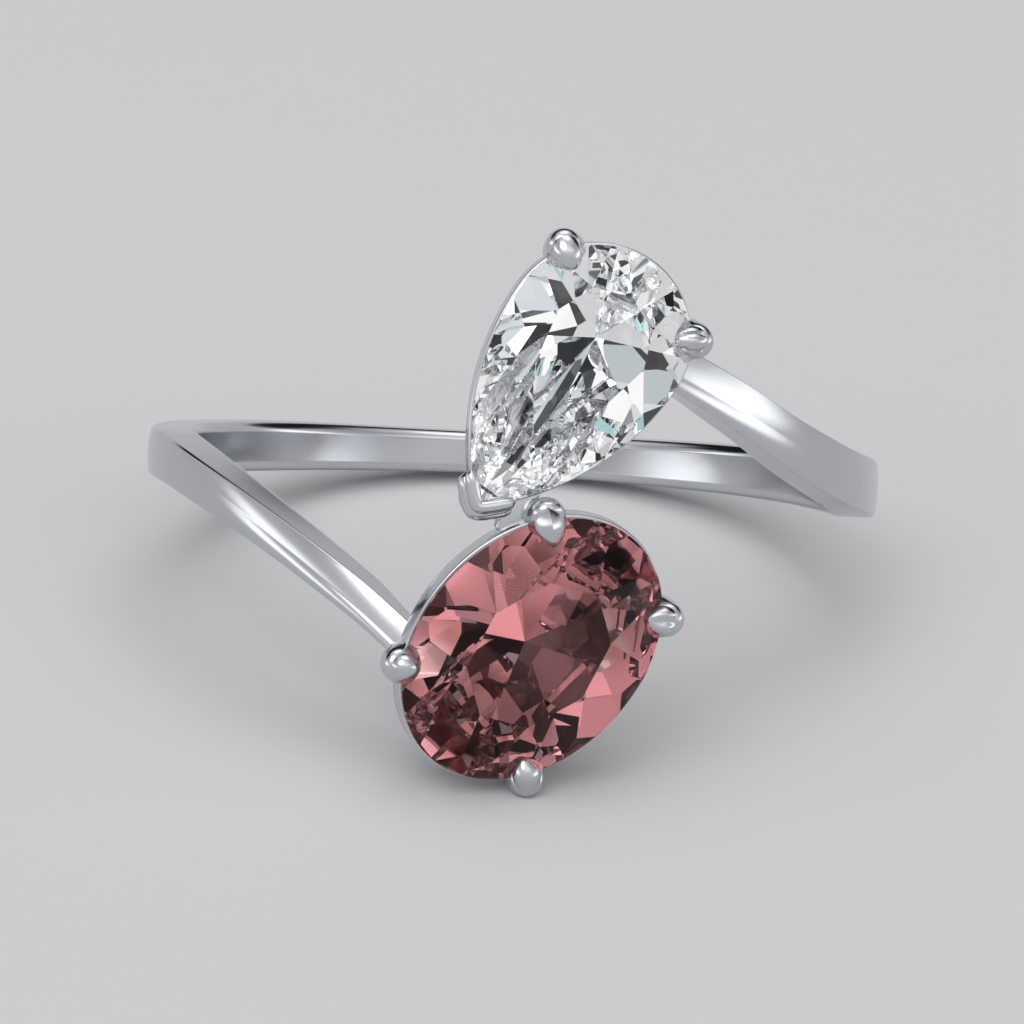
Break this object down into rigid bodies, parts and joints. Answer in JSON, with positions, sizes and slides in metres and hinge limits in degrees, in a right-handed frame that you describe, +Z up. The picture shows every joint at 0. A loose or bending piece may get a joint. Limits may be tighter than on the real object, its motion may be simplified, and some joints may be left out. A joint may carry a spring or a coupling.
{
  "type": "two-stone bypass ring",
  "caption": "Silver bypass ring lying on its side: the band's ends pass each other and carry a clear pear-cut stone and a pink oval-cut stone in pronged open settings.",
  "frame": {"origin": "middle of the bounding box at its bottom, on the surface the ring lies on", "axes": "+Z up from the surface, -Y towards the stones, +X to the right seen from the stones"},
  "size_m": [0.0208, 0.0242, 0.0147],
  "materials": {
    "silver": "polished silver",
    "clear_stone": "faceted and polished, colourless",
    "pink_stone": "faceted and polished, rose pink"
  },
  "bodies": {
    "root": {"silver_mount": "silver", "pear_stone": "clear_stone", "oval_stone": "pink_stone"}
  },
  "joints": []
}
